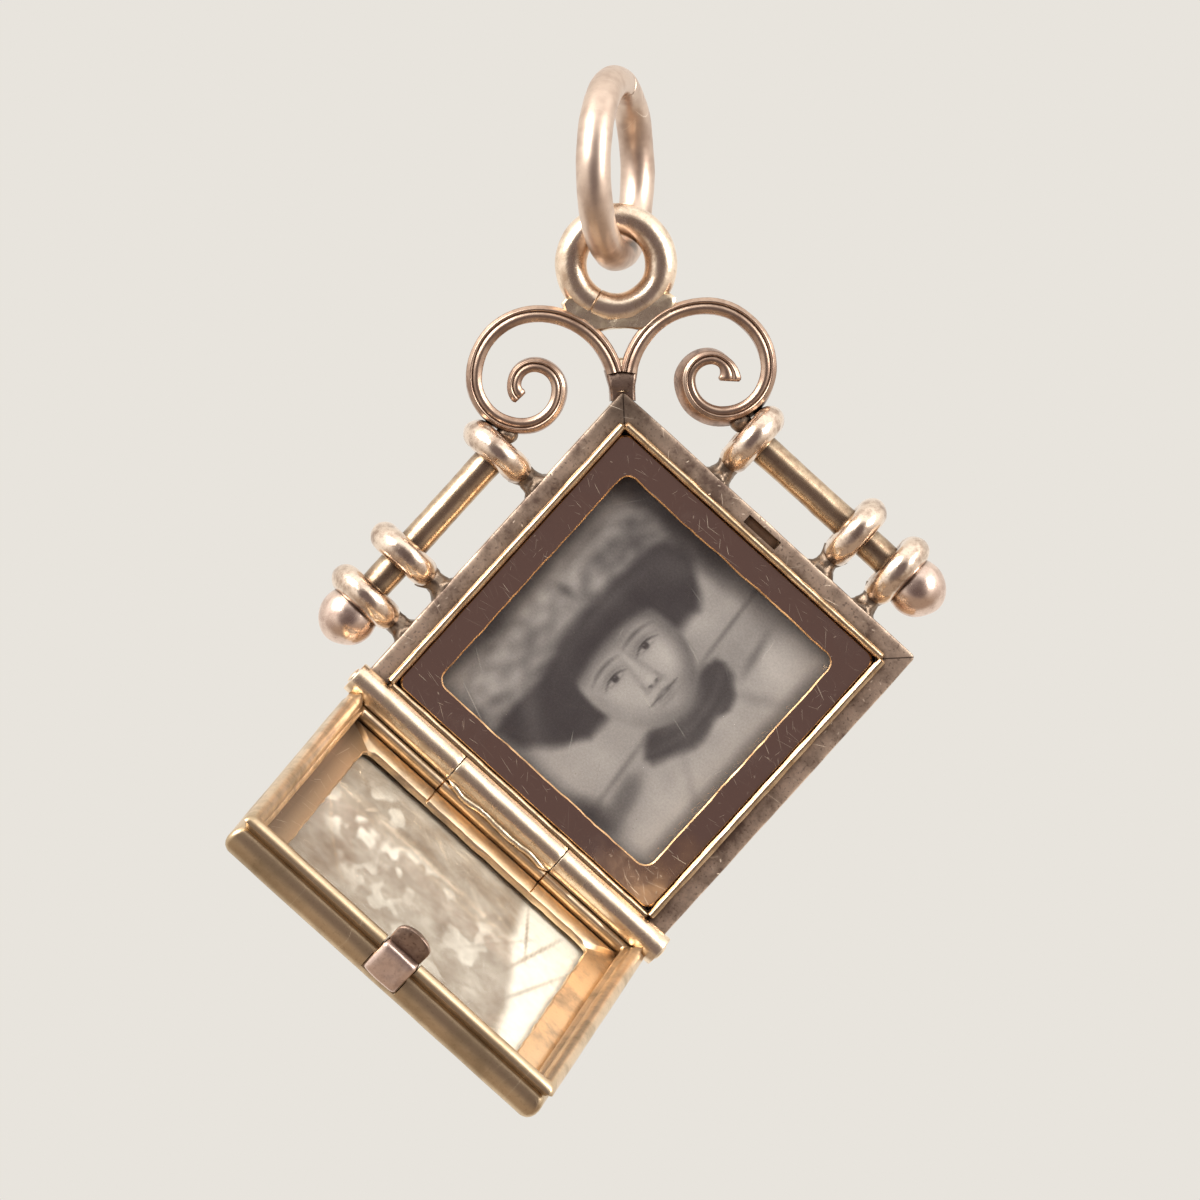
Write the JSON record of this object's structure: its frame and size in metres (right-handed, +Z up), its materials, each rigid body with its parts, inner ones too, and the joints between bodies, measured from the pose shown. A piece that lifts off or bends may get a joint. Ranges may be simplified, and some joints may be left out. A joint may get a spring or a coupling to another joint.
{
  "type": "book locket",
  "caption": "Square gold locket worn on its corner, with scrolls, side rails and a bail ring, its hinged front leaf open on two framed pictures.",
  "frame": {"origin": "the seat at the top inside of the bail ring, where a chain or cord carries the locket", "axes": "+Z up as the locket hangs, -Y towards the viewer who looks at the open face, +X to that viewer's right"},
  "size_m": [0.0292, 0.0191, 0.0416],
  "materials": {
    "bail_gold": "polished rose gold, worn",
    "worn_gold": "satin yellow-rose gold with dark tarnish",
    "dark_gold": "polished rose gold, tarnished brown and scratched",
    "bright_gold": "bright polished gold",
    "rose_gold": "satin rose gold",
    "glass": "clear, lightly scratched",
    "portrait_card": "matte photographic print",
    "sepia_card": "matte sepia print"
  },
  "bodies": {
    "bail": {"bail_ring": "bail_gold"},
    "pendant": {"case": "worn_gold", "case_frame": "dark_gold", "case_glass": "glass", "case_picture": "portrait_card", "hinge_pin": "worn_gold"},
    "lid": {"lid": "worn_gold", "lid_frame": "bright_gold", "lid_glass": "glass", "lid_picture": "sepia_card", "catch": "rose_gold"}
  },
  "joints": [
    {"name": "bail_swing", "type": "hinge", "parent": "bail", "child": "pendant", "pos_m": [0, 0, -0.0062], "axis": [0.2924, 0.9563, 0], "range_deg": [-50, 50]},
    {"name": "lid_hinge", "type": "hinge", "parent": "pendant", "child": "lid", "pos_m": [-0.0044, -0.0006, -0.02879], "axis": [0.7408, 0, -0.6717], "range_deg": [-114, 20]}
  ]
}
